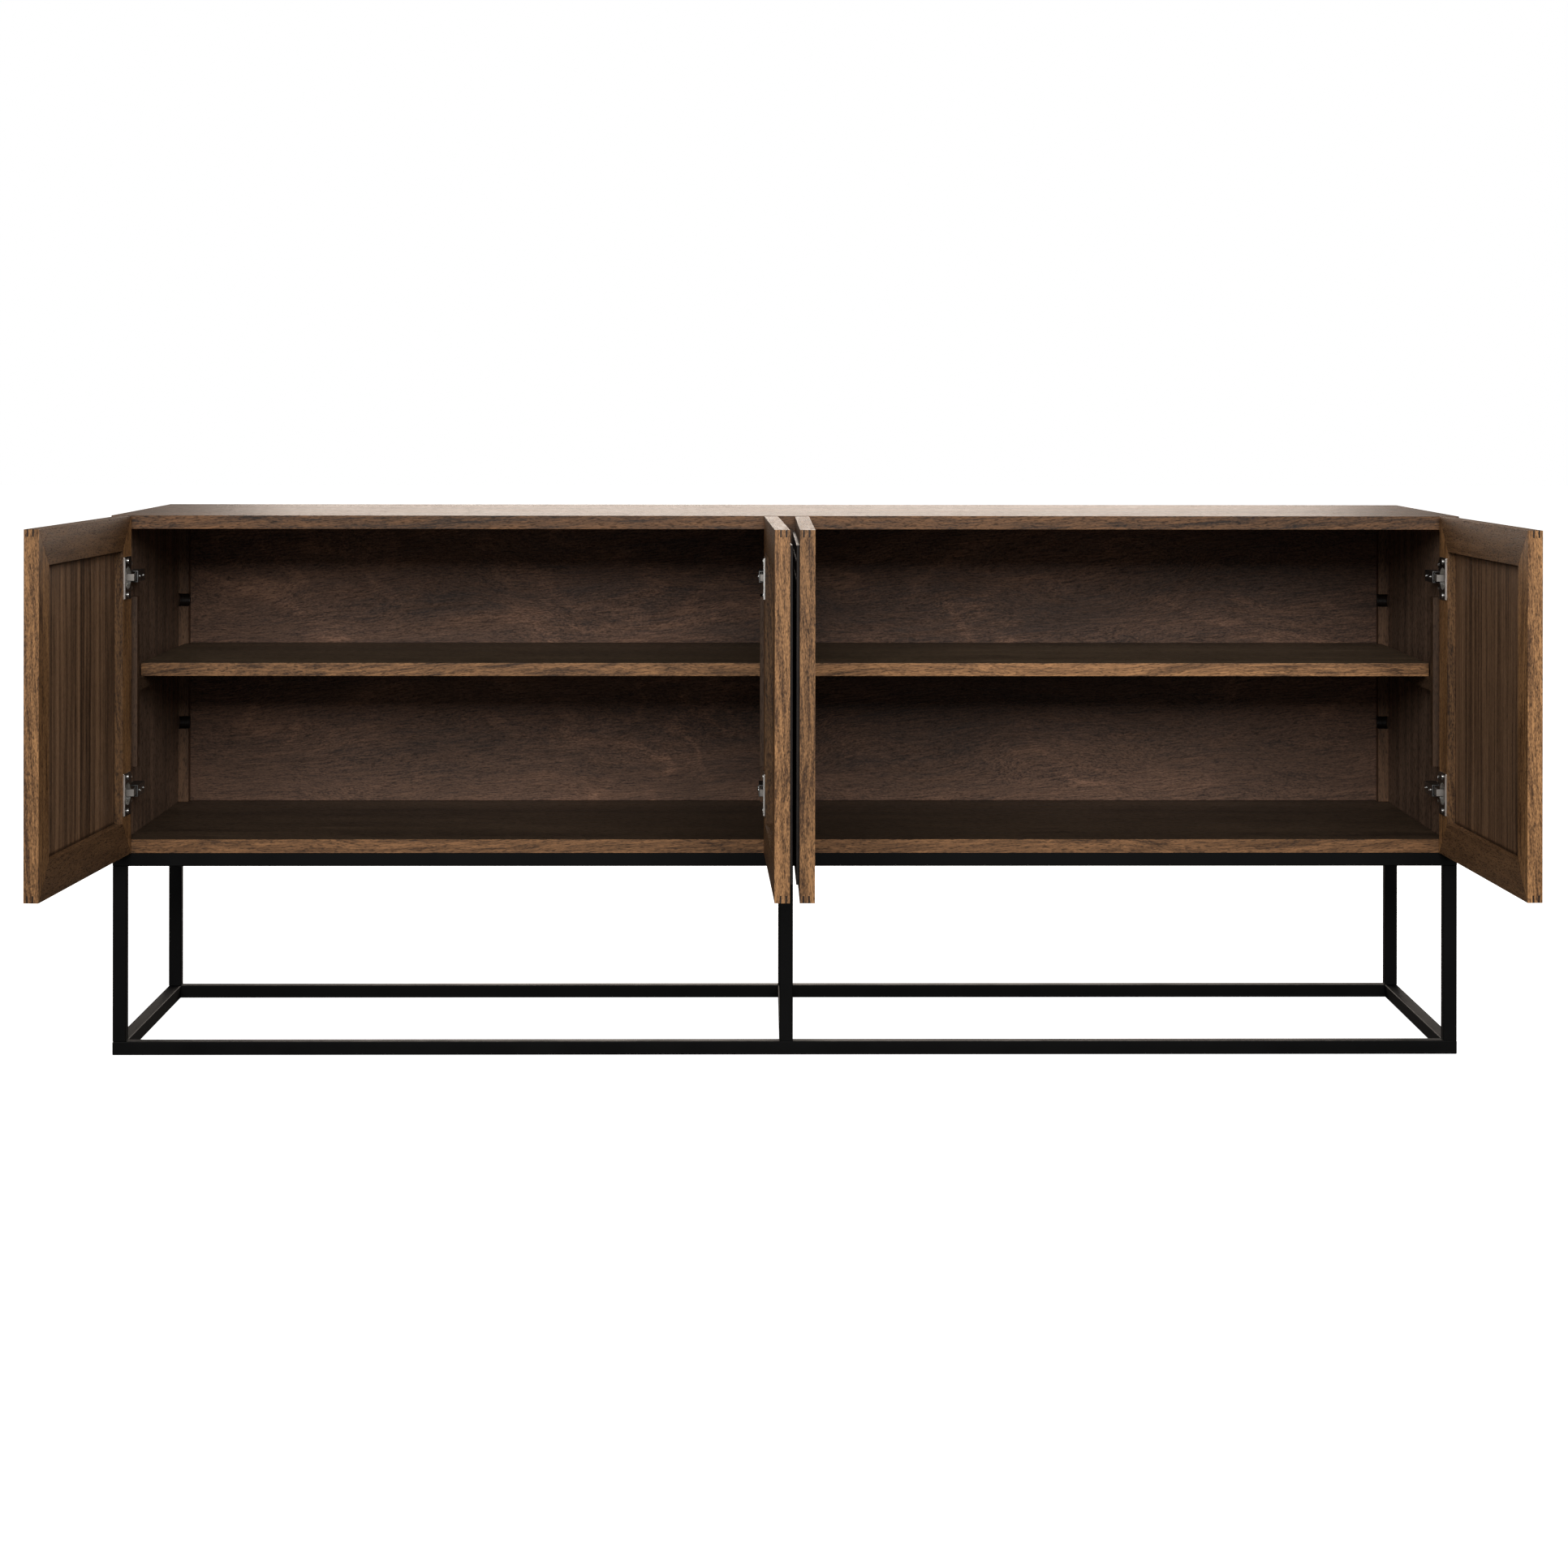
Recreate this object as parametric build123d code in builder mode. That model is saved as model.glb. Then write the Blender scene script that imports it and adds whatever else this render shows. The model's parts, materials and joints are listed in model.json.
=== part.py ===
from build123d import *
import os
from math import atan2, cos, degrees, hypot, radians, sin

# Sideboard buffet: a low two-bay cabinet with four doors on a welded square-tube base.
# Millimetres, +Z up, -Y is the front. The origin is on the floor at the centre of the footprint.
# The object is drawn with its doors standing open, each at its own angle.

os.makedirs("parts", exist_ok=True)

# ---------------------------------------------------------------- driving dimensions
WIDTH = 2000.0
DEPTH = 500.0
BASE_H = 300.0
CASE_H = 500.0
BOARD = 20.0                    # thickness of every case board and shelf
DIVIDER_GAP = 6.5               # between the two uprights of the divider
PACKING_FRONT = 40.0            # front edge of the packing board between them, from the case front
FRONT = -DEPTH / 2              # world Y of the case's front edges
BACK = DEPTH / 2
TOP = BASE_H + CASE_H

# base of square tube
TUBE = 20.0
TUBE_WALL = 2.0
TUBE_ROUND = 1.5                # outside corner radius of the tube
BASE_INSET = 2.0                # base stands in from the case on every side
BASE_SCREW_X = (-750.0, -250.0, 250.0, 750.0)
BASE_SCREW_BITE = 12.0          # length of screw inside the bottom board
BASE_SCREW_ACCESS_R = 5.0       # hole in the tube's lower wall that lets the screw's head in

# case interior
FLOOR_Z = BASE_H + BOARD
CEILING_Z = TOP - BOARD
BACK_T = 18.0                   # back panel thickness
BACK_FRONT = 480.0              # back panel's front face, measured from the case front
EASE = 0.8                      # small rounding on the boards' long edges

# shelf supports: notched corner battens and the cleats that lie between them
BATTEN = 20.0                   # from front to back
BATTEN_W = 16.5
FRONT_BATTEN_Y = 12.0           # front face of the front battens, measured from the case front
FRONT_BATTEN_LOW = 126.0        # above the underside of the case
FRONT_BATTEN_HIGH = 121.0       # below the top of the case
NOTCH_H = 20.0
NOTCH_DEPTH = 13.0
NOTCH_PITCH = 99.0
NOTCH_MID_Z = 547.5
CLEAT_H = 19.0
CLEAT_W = 15.5
CLEAT_PLAY = 0.5                # gap between a cleat and the face or notch behind it
CLEAT_TONGUE = 12.0             # how far a cleat's round end reaches into a notch

# shelves
SHELF_FRONT = 66.0              # front edge, measured from the case front
SHELF_END_GAP = 12.0
SHELF_BACK_GAP = 2.0
SHELF_NOTCH_GAP = 2.0

# doors
DOOR_GAP = 3.0                  # between two closed doors
DOOR_EDGE_GAP = DOOR_GAP / 2    # from a closed door's hinge edge to the edge of the case
DOOR_END_GAP = 0.5              # from a closed door's top or bottom end to the edge of the case
DOOR_BACK_GAP = 2.0             # from a closed door's inner face to the case front
DOOR_W = (WIDTH / 2 - DIVIDER_GAP / 2 - 2 * DOOR_EDGE_GAP - DOOR_GAP) / 2
DOOR_H = CASE_H - 2 * DOOR_END_GAP
DOOR_T = 20.5
MEMBER_W = 50.0                 # visible width of stiles and rails on the inner side
PANEL_SINK = 12.0               # panel's depth below the inner face of the frame
REBATE = 8.0                    # width of the step that holds the panel
PANEL_PLAY = 1.0
KEY_LEG = 10.0                  # leg of a triangular mitre key
KEY_T = 2.4
KEY_LEVELS = (8.0, 15.5)        # depth of the keys' centres below the inner face
FIELD_T = 4.5                   # ribbed front board
FIELD_INSET = 21.5
FIELD_HINGE_INSET = 25.0
RIB_PITCH = 26.0
GROOVE_W = 5.0
GROOVE_DEPTH = 3.0
GROOVE_STOP = 10.0              # plain wood left at both ends of a groove

# concealed cup hinges. Local hinge axes: x runs inwards from the case's outer face
# (or from the face hidden in the divider), y runs from the case front towards the back.
HINGE_END = 90.5                # hinge centre to the door's top or bottom end
PIVOT_FIXED = (33.5, 13.7)      # link pivot on the arm, in hinge axes
PIVOT_DOOR = (10.0, 6.0)        # link pivot in the cup: from the door's edge, below its inner face
LINK_TURN_PER_DEGREE = 0.2973   # the link turns this much for each degree that the door opens
LINK_ELBOW = (26.9, 11.0)       # elbow of the link, along and across the line between its pivots
LINK_T = 2.6
LINK_W = 10.0
LINK_BOSS_R = 2.4
PIN_R = 1.5
PIN_FIT = 0.06                  # running clearance of a pin in its link
PIN_INSET = 0.25                # ends of a cup's pin stand inside the cup's outer face
CUP_R = 17.5
CUP_WALL = 1.0
CUP_DEPTH = 14.5
CUP_EDGE = 5.0                  # wood left between the cup and the door's edge
FLANGE_T = 0.8
FLANGE_H = 63.0
FLANGE_ROUND = 1.5
FLANGE_LIP_W = 3.0              # raised lip along the flange's inboard edge
FLANGE_LIP_T = 2.4
FLANGE_START = 3.5              # from the door's edge
FLANGE_END = 45.0
CUP_SCREW_Z = 25.0              # either side of the cup's centre
ARM_LOW = 8.0                   # front end of the arm, in hinge axes
ARM_BACK = 66.0
ARM_REACH = 38.0                # inboard face of the arm, in hinge axes
ARM_W = 17.0
ARM_WALL = 1.6
ARM_NOSE = 7.0                  # half height of the arm's fork around the pivot
PLATE_T = 2.2
PLATE_Y = (24.0, 62.0)
PLATE_H = 50.0
PLATE_WING_W = 10.8             # width of the plate's two wings, around its screws
PLATE_SCREW_Z = 18.0
PLATE_SCREW_Y = 37.0
WOOD_SCREW_R = 1.9
WOOD_SCREW_HEAD_R = 3.9
WOOD_SCREW_HEAD_T = 1.7
WOOD_SCREW_LENGTH = 12.0
SCREW_HOLE_PLAY = 0.15
HOLE_END_PLAY = 1.0             # depth left under the tip of every wood screw
CUT_OVERRUN = 1.0               # how far a cut runs past the face that it opens

# each door: where its hinge axes start, which way they run, and its angle as drawn
DOORS = {
    "outer_left": {"base_x": -WIDTH / 2, "hand": 1, "angle": 93.6},
    "centre_left": {"base_x": -DIVIDER_GAP / 2, "hand": -1, "angle": 91.65},
    "centre_right": {"base_x": DIVIDER_GAP / 2, "hand": 1, "angle": 89.75},
    "outer_right": {"base_x": WIDTH / 2, "hand": -1, "angle": 92.3},
}
DIVIDER_X = DIVIDER_GAP / 2 + BOARD     # inner face of each upright, from the centre line
BAYS = {
    "left": (-WIDTH / 2 + BOARD, -DIVIDER_X),
    "right": (DIVIDER_X, WIDTH / 2 - BOARD),
}
DOOR_MID_Z = BASE_H + CASE_H / 2
HINGE_Z = (
    DOOR_MID_Z - DOOR_H / 2 + HINGE_END,
    DOOR_MID_Z + DOOR_H / 2 - HINGE_END,
)


def save(piece, name):
    """Label a finished piece and write it as one STEP file."""
    piece.part.label = name
    export_step(piece.part, f"parts/{name}.step")


def save_group(pieces, name):
    """Write several like pieces, each its own solid, as one STEP file."""
    solids = [solid for piece in pieces for solid in piece.solids()]
    export_step(Compound(label=name, children=solids), f"parts/{name}.step")


def span(start, end):
    """Centre and length of a stretch."""
    return (start + end) / 2, abs(end - start)


# ---------------------------------------------------------------- hinge and door geometry
def link_pivots(angle):
    """Hinge axes: the link's door pivot when the door stands open by angle degrees."""
    closed = (DOOR_EDGE_GAP + PIVOT_DOOR[0], -DOOR_BACK_GAP - PIVOT_DOOR[1])
    reach = hypot(closed[0] - PIVOT_FIXED[0], closed[1] - PIVOT_FIXED[1])
    start = atan2(closed[1] - PIVOT_FIXED[1], closed[0] - PIVOT_FIXED[0])
    turn = start + radians(LINK_TURN_PER_DEGREE * angle)
    return PIVOT_FIXED[0] + reach * cos(turn), PIVOT_FIXED[1] + reach * sin(turn)


def door_corner(angle):
    """Hinge axes: the corner of the door's hinge edge and inner face."""
    pivot = link_pivots(angle)
    turn = radians(angle)
    along = PIVOT_DOOR[0] * cos(turn) - PIVOT_DOOR[1] * sin(turn)
    across = -PIVOT_DOOR[0] * sin(turn) - PIVOT_DOOR[1] * cos(turn)
    return pivot[0] - along, pivot[1] - across


def to_world(door, point):
    """World XY of a point given in a door's hinge axes."""
    return door["base_x"] + door["hand"] * point[0], FRONT + point[1]


def door_plane(door, depth=0.0):
    """Plane on the door at a depth below its inner face. X runs from the hinge edge to the
    free edge, and the normal runs from the inner face to the front. It starts at mid height."""
    turn = radians(door["angle"])
    width_dir = Vector(door["hand"] * cos(turn), -sin(turn), 0)
    depth_dir = Vector(-door["hand"] * sin(turn), -cos(turn), 0)
    x, y = to_world(door, door_corner(door["angle"]))
    origin = Vector(x, y, DOOR_MID_Z) + depth_dir * depth
    return Plane(origin=origin, x_dir=width_dir, z_dir=depth_dir)


# ---------------------------------------------------------------- base
def tube_section():
    """Hollow square tube section with rounded outside corners, on the current sketch."""
    RectangleRounded(TUBE, TUBE, TUBE_ROUND)
    inner = TUBE - 2 * TUBE_WALL
    Rectangle(inner, inner, mode=Mode.SUBTRACT)


BASE_X = WIDTH / 2 - BASE_INSET
BASE_Y = DEPTH / 2 - BASE_INSET
RAIL_Y = BASE_Y - TUBE / 2
LEG_X = BASE_X - TUBE / 2
LEVELS = {"bottom": TUBE / 2, "top": BASE_H - TUBE / 2}


def base_screw_points(y):
    return [(x, y) for x in BASE_SCREW_X]


def long_rail(name, side, level):
    """Front or rear rail over the full width, mitred at both ends. side is -1 at the front."""
    with BuildPart() as rail:
        with BuildSketch(Plane(origin=(-BASE_X, side * RAIL_Y, level), x_dir=(0, 1, 0), z_dir=(1, 0, 0))):
            tube_section()
        extrude(amount=2 * BASE_X)
        for sx in (-1, 1):
            corner = (sx * BASE_X, side * BASE_Y, level)
            split(bisect_by=Plane(origin=corner, z_dir=(-sx, side, 0)), keep=Keep.TOP)
        if level > BASE_H / 2:
            for hole_r, direction in ((WOOD_SCREW_R + SCREW_HOLE_PLAY, 1), (BASE_SCREW_ACCESS_R, -1)):
                with BuildSketch(Plane.XY.offset(level)):
                    with Locations(base_screw_points(side * RAIL_Y)):
                        Circle(hole_r)
                extrude(amount=direction * TUBE, mode=Mode.SUBTRACT)
    save(rail, name)


for level_name, level_z in LEVELS.items():
    long_rail(f"front_{level_name}_rail", -1, level_z)
    long_rail(f"rear_{level_name}_rail", 1, level_z)


def side_cross_rail(side_x, level):
    """Cross rail at one end of the base, mitred into the long rails."""
    with BuildPart() as rail:
        with BuildSketch(Plane(origin=(side_x * LEG_X, -BASE_Y, level), x_dir=(1, 0, 0), z_dir=(0, 1, 0))):
            tube_section()
        extrude(amount=2 * BASE_Y)
        for side_y in (-1, 1):
            corner = (side_x * BASE_X, side_y * BASE_Y, level)
            split(bisect_by=Plane(origin=corner, z_dir=(side_x, -side_y, 0)), keep=Keep.TOP)
    return rail.part


def middle_cross_rail(level):
    """Cross rail under the divider, butted between the long rails."""
    length = 2 * (BASE_Y - TUBE)
    with BuildPart() as rail:
        with BuildSketch(Plane(origin=(0, -length / 2, level), x_dir=(1, 0, 0), z_dir=(0, 1, 0))):
            tube_section()
        extrude(amount=length)
    return rail.part


for level_name, level_z in LEVELS.items():
    rails = [side_cross_rail(-1, level_z), middle_cross_rail(level_z), side_cross_rail(1, level_z)]
    save_group(rails, f"{level_name}_cross_rails")

for place, leg_y in (("front", -RAIL_Y), ("rear", RAIL_Y)):
    for position, leg_x in (("left", -LEG_X), ("centre", 0.0), ("right", LEG_X)):
        with BuildPart() as leg:
            with BuildSketch(Plane(origin=(leg_x, leg_y, TUBE))):
                tube_section()
            extrude(amount=BASE_H - 2 * TUBE)
        save(leg, f"{place}_{position}_leg")

# the base screws sit inside the top rails, with their heads against the tube's upper wall
BASE_SCREW_SEAT = BASE_H - TUBE_WALL
with BuildPart() as base_screws:
    for rail_y in (-RAIL_Y, RAIL_Y):
        with BuildSketch(Plane.XY.offset(BASE_SCREW_SEAT)):
            with Locations(base_screw_points(rail_y)):
                Circle(WOOD_SCREW_R)
        extrude(amount=TUBE_WALL + BASE_SCREW_BITE)
        with BuildSketch(Plane.XY.offset(BASE_SCREW_SEAT)):
            with Locations(base_screw_points(rail_y)):
                Circle(WOOD_SCREW_HEAD_R)
        extrude(amount=-WOOD_SCREW_HEAD_T)
save(base_screws, "base_screws")


# ---------------------------------------------------------------- case
def mitred_board(name, profile, holes=()):
    """Case board drawn by its front outline and run through the depth; holes are blind screw
    holes in its underside."""
    with BuildPart() as board:
        with BuildSketch(Plane(origin=(0, BACK, 0), x_dir=(1, 0, 0), z_dir=(0, -1, 0))):
            with BuildLine():
                Polyline(*profile, close=True)
            make_face()
        extrude(amount=DEPTH)
        if holes:
            with BuildSketch(Plane.XY.offset(BASE_H)):
                with Locations(holes):
                    Circle(WOOD_SCREW_R + SCREW_HOLE_PLAY)
            extrude(amount=BASE_SCREW_BITE + HOLE_END_PLAY, mode=Mode.SUBTRACT)
    save(board, name)


half = WIDTH / 2
mitred_board("top_board", [(-half, TOP), (half, TOP), (half - BOARD, CEILING_Z), (-half + BOARD, CEILING_Z)])
mitred_board(
    "bottom_board",
    [(-half, BASE_H), (half, BASE_H), (half - BOARD, FLOOR_Z), (-half + BOARD, FLOOR_Z)],
    base_screw_points(-RAIL_Y) + base_screw_points(RAIL_Y),
)


def plate_screw_points(hinge_z):
    """Screws of one mounting plate as (distance from the case front, height)."""
    return [(PLATE_SCREW_Y, hinge_z - PLATE_SCREW_Z), (PLATE_SCREW_Y, hinge_z + PLATE_SCREW_Z)]


def hinge_screw_holes(face_x, inward):
    """Blind holes for the mounting plates' screws in an upright whose inner face is at face_x."""
    points = [(FRONT + y, z) for hinge_z in HINGE_Z for y, z in plate_screw_points(hinge_z)]
    with BuildSketch(Plane(origin=(face_x, 0, 0), x_dir=(0, 1, 0), z_dir=(1, 0, 0))) as holes:
        with Locations(points):
            Circle(WOOD_SCREW_R + SCREW_HOLE_PLAY)
    extrude(holes.sketch, amount=-inward * (WOOD_SCREW_LENGTH + HOLE_END_PLAY), mode=Mode.SUBTRACT)


for name, side in (("left_side", -1), ("right_side", 1)):
    with BuildPart() as side_board:
        with BuildSketch(Plane(origin=(0, BACK, 0), x_dir=(1, 0, 0), z_dir=(0, -1, 0))):
            with BuildLine():
                Polyline(
                    (side * half, BASE_H),
                    (side * half, TOP),
                    (side * (half - BOARD), CEILING_Z),
                    (side * (half - BOARD), FLOOR_Z),
                    close=True,
                )
            make_face()
        extrude(amount=DEPTH)
        hinge_screw_holes(side * (half - BOARD), -side)
    save(side_board, name)

for name, side in (("divider_left", -1), ("divider_right", 1)):
    with BuildPart() as divider:
        mid_x = side * (DIVIDER_X - BOARD / 2)
        with BuildSketch(Plane.XY.offset(FLOOR_Z)):
            with Locations((mid_x, 0)):
                Rectangle(BOARD, DEPTH)
        extrude(amount=CEILING_Z - FLOOR_Z)
        hinge_screw_holes(side * DIVIDER_X, side)
    save(divider, name)

with BuildPart() as packing:
    packing_y, packing_depth = span(FRONT + PACKING_FRONT, BACK)
    packing_z, packing_height = span(FLOOR_Z, CEILING_Z)
    with Locations((0, packing_y, packing_z)):
        Box(DIVIDER_GAP, packing_depth, packing_height)
save(packing, "divider_packing")

for bay, (low_x, high_x) in BAYS.items():
    with BuildPart() as back_panel:
        mid_x, bay_w = span(low_x, high_x)
        with BuildSketch(Plane.XY.offset(FLOOR_Z)):
            with Locations((mid_x, FRONT + BACK_FRONT + BACK_T / 2)):
                Rectangle(bay_w, BACK_T)
        extrude(amount=CEILING_Z - FLOOR_Z)
    save(back_panel, f"back_panel_{bay}")


# ---------------------------------------------------------------- shelf supports and shelves
REAR_BATTEN_Y = BACK_FRONT - BATTEN     # front face of the rear battens, from the case front
NOTCH_LEVELS = [NOTCH_MID_Z + step * NOTCH_PITCH for step in (-1, 0, 1)]


def support_sides():
    """Inner faces that carry battens, with the direction into the bay."""
    for low_x, high_x in BAYS.values():
        yield low_x, 1
        yield high_x, -1


def notched_batten(face_x, inward, y_low, z_low, z_high, opens):
    """Upright batten on the face at face_x. Its round-bottomed notches open towards +Y when
    opens is 1 and towards -Y when it is -1."""
    x_mid = face_x + inward * BATTEN_W / 2
    y_mid = FRONT + y_low + BATTEN / 2
    mouth_y = y_mid + opens * BATTEN / 2
    round_y = mouth_y - opens * (NOTCH_DEPTH - NOTCH_H / 2)
    with BuildPart() as batten:
        with BuildSketch(Plane.XY.offset(z_low)):
            with Locations((x_mid, y_mid)):
                Rectangle(BATTEN_W, BATTEN)
        extrude(amount=z_high - z_low)
        with BuildSketch(Plane(origin=(x_mid, 0, 0), x_dir=(0, 1, 0), z_dir=(1, 0, 0))):
            for level in NOTCH_LEVELS:
                with Locations((round_y, level)):
                    Circle(NOTCH_H / 2)
                with Locations(((round_y + mouth_y) / 2, level)):
                    Rectangle(abs(mouth_y - round_y), NOTCH_H)
        extrude(amount=BATTEN_W, both=True, mode=Mode.SUBTRACT)
    return batten.part


BATTEN_SETS = {
    "rear": (REAR_BATTEN_Y, FLOOR_Z, CEILING_Z, -1),
    "front": (FRONT_BATTEN_Y, BASE_H + FRONT_BATTEN_LOW, TOP - FRONT_BATTEN_HIGH, 1),
}
for place, (y_low, z_low, z_high, opens) in BATTEN_SETS.items():
    battens = [notched_batten(x, inward, y_low, z_low, z_high, opens) for x, inward in support_sides()]
    save_group(battens, f"{place}_battens")

CLEAT_Z = NOTCH_MID_Z - NOTCH_H / 2     # cleats lie on the bottoms of the middle notches
CLEAT_FRONT = FRONT_BATTEN_Y + BATTEN - CLEAT_TONGUE
CLEAT_BACK = REAR_BATTEN_Y + CLEAT_TONGUE


def shelf_cleat(face_x, inward):
    """Loose bar with round ends that lies in a front and a rear notch."""
    start = face_x + inward * CLEAT_PLAY
    with BuildPart() as cleat:
        with BuildSketch(Plane(origin=(start, 0, 0), x_dir=(0, 1, 0), z_dir=(1, 0, 0))):
            with Locations((FRONT + (CLEAT_FRONT + CLEAT_BACK) / 2, CLEAT_Z + CLEAT_H / 2)):
                SlotOverall(CLEAT_BACK - CLEAT_FRONT, CLEAT_H)
        extrude(amount=inward * CLEAT_W)
    return cleat.part


for bay, (low_x, high_x) in BAYS.items():
    save_group([shelf_cleat(low_x, 1), shelf_cleat(high_x, -1)], f"shelf_cleats_{bay}")

SHELF_Z = CLEAT_Z + CLEAT_H
for bay, (low_x, high_x) in BAYS.items():
    with BuildPart() as shelf:
        left_x = low_x + SHELF_END_GAP
        right_x = high_x - SHELF_END_GAP
        front_y = FRONT + SHELF_FRONT
        back_y = FRONT + BACK_FRONT - SHELF_BACK_GAP
        notch_y = FRONT + REAR_BATTEN_Y - SHELF_NOTCH_GAP
        notch_w = BATTEN_W + SHELF_NOTCH_GAP - SHELF_END_GAP
        with BuildSketch(Plane.XY.offset(SHELF_Z)):
            with BuildLine():
                Polyline(
                    (left_x, front_y),
                    (right_x, front_y),
                    (right_x, notch_y),
                    (right_x - notch_w, notch_y),
                    (right_x - notch_w, back_y),
                    (left_x + notch_w, back_y),
                    (left_x + notch_w, notch_y),
                    (left_x, notch_y),
                    close=True,
                )
            make_face()
        extrude(amount=BOARD)
        long_edges = shelf.edges().filter_by(Axis.X).group_by(Axis.Y)[0]
        fillet(long_edges, radius=EASE)
    save(shelf, f"shelf_{bay}")


# ---------------------------------------------------------------- doors
def frame_member(door, upright, far):
    """One mitred, rebated member of a door frame. upright picks a stile or a rail; far picks
    the one at the free edge or at the top."""
    half_h = DOOR_H / 2
    inward = -1 if far else 1
    near = MEMBER_W - REBATE
    beyond = MEMBER_W + CUT_OVERRUN
    if upright:
        outer = DOOR_W if far else 0.0
        inner = outer + inward * MEMBER_W
        corners = [(outer, -half_h), (outer, half_h), (inner, half_h - MEMBER_W), (inner, MEMBER_W - half_h)]
        step_x, step_w = span(outer + inward * near, outer + inward * beyond)
        step_y, step_h = span(-half_h, half_h)
    else:
        outer = half_h if far else -half_h
        inner = outer + inward * MEMBER_W
        corners = [(0.0, outer), (DOOR_W, outer), (DOOR_W - MEMBER_W, inner), (MEMBER_W, inner)]
        step_x, step_w = span(0.0, DOOR_W)
        step_y, step_h = span(outer + inward * near, outer + inward * beyond)
    with BuildPart() as member:
        with BuildSketch(door_plane(door)):
            with BuildLine():
                Polyline(*corners, close=True)
            make_face()
        extrude(amount=DOOR_T)
        with BuildSketch(door_plane(door, PANEL_SINK)):
            with Locations((step_x, step_y)):
                Rectangle(step_w, step_h)
        extrude(amount=DOOR_T, mode=Mode.SUBTRACT)
    return member.part


def mitre_keys(door, mode=Mode.ADD):
    """Triangular keys let into the four outer corners of a door frame."""
    for level in KEY_LEVELS:
        with BuildSketch(door_plane(door, level - KEY_T / 2)) as key_outlines:
            for x, sx in ((0.0, 1), (DOOR_W, -1)):
                for y, sy in ((-DOOR_H / 2, 1), (DOOR_H / 2, -1)):
                    with BuildLine():
                        Polyline((x, y), (x + sx * KEY_LEG, y), (x, y + sy * KEY_LEG), close=True)
                    make_face()
        extrude(key_outlines.sketch, amount=KEY_T, mode=mode)


CUP_U = CUP_EDGE + CUP_R                # cup centre from the door's hinge edge
CUP_HEIGHTS = [z - DOOR_MID_Z for z in HINGE_Z]


def cup_centres():
    return [(CUP_U, height) for height in CUP_HEIGHTS]


def cup_screw_centres():
    return [(CUP_U, height + step) for height in CUP_HEIGHTS for step in (-CUP_SCREW_Z, CUP_SCREW_Z)]


def door_frame(door, name):
    stile_pair = [frame_member(door, True, far) for far in (False, True)]
    rail_pair = [frame_member(door, False, far) for far in (False, True)]
    with BuildPart() as stiles:
        add(stile_pair)
        mitre_keys(door, Mode.SUBTRACT)
        with BuildSketch(door_plane(door)):
            with Locations(cup_centres()):
                Circle(CUP_R)
        extrude(amount=CUP_DEPTH, mode=Mode.SUBTRACT)
        with BuildSketch(door_plane(door)):
            with Locations(cup_screw_centres()):
                Circle(WOOD_SCREW_R + SCREW_HOLE_PLAY)
        extrude(amount=WOOD_SCREW_LENGTH + HOLE_END_PLAY, mode=Mode.SUBTRACT)
    save(stiles, f"{name}_door_stiles")

    with BuildPart() as rails:
        add(rail_pair)
        mitre_keys(door, Mode.SUBTRACT)
    save(rails, f"{name}_door_rails")

    with BuildPart() as keys:
        mitre_keys(door)
    save(keys, f"{name}_door_mitre_keys")


def door_panel(door, name):
    border = MEMBER_W - REBATE + PANEL_PLAY
    with BuildPart() as panel:
        with BuildSketch(door_plane(door, PANEL_SINK)):
            with Locations((DOOR_W / 2, 0)):
                Rectangle(DOOR_W - 2 * border, DOOR_H - 2 * border)
        extrude(amount=DOOR_T - PANEL_SINK)
    save(panel, f"{name}_door_panel")


def door_front(door, name):
    """Ribbed board on the front of the door; its grooves run level, evenly about mid height,
    and stop short of the board's upright edges."""
    height = DOOR_H - 2 * FIELD_INSET
    low = FIELD_HINGE_INSET
    high = DOOR_W - FIELD_INSET
    groove_count = int(height / RIB_PITCH)
    groove_length = high - low - 2 * GROOVE_STOP
    with BuildPart() as field:
        with BuildSketch(door_plane(door, DOOR_T)):
            with Locations(((low + high) / 2, 0)):
                Rectangle(high - low, height)
        extrude(amount=FIELD_T)
        with BuildSketch(door_plane(door, DOOR_T + FIELD_T - GROOVE_DEPTH)):
            for index in range(groove_count):
                groove_y = (index - (groove_count - 1) / 2) * RIB_PITCH
                with Locations(((low + high) / 2, groove_y)):
                    Rectangle(groove_length, GROOVE_W)
        extrude(amount=FIELD_T, mode=Mode.SUBTRACT)
    save(field, f"{name}_door_ribbed_front")


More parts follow.
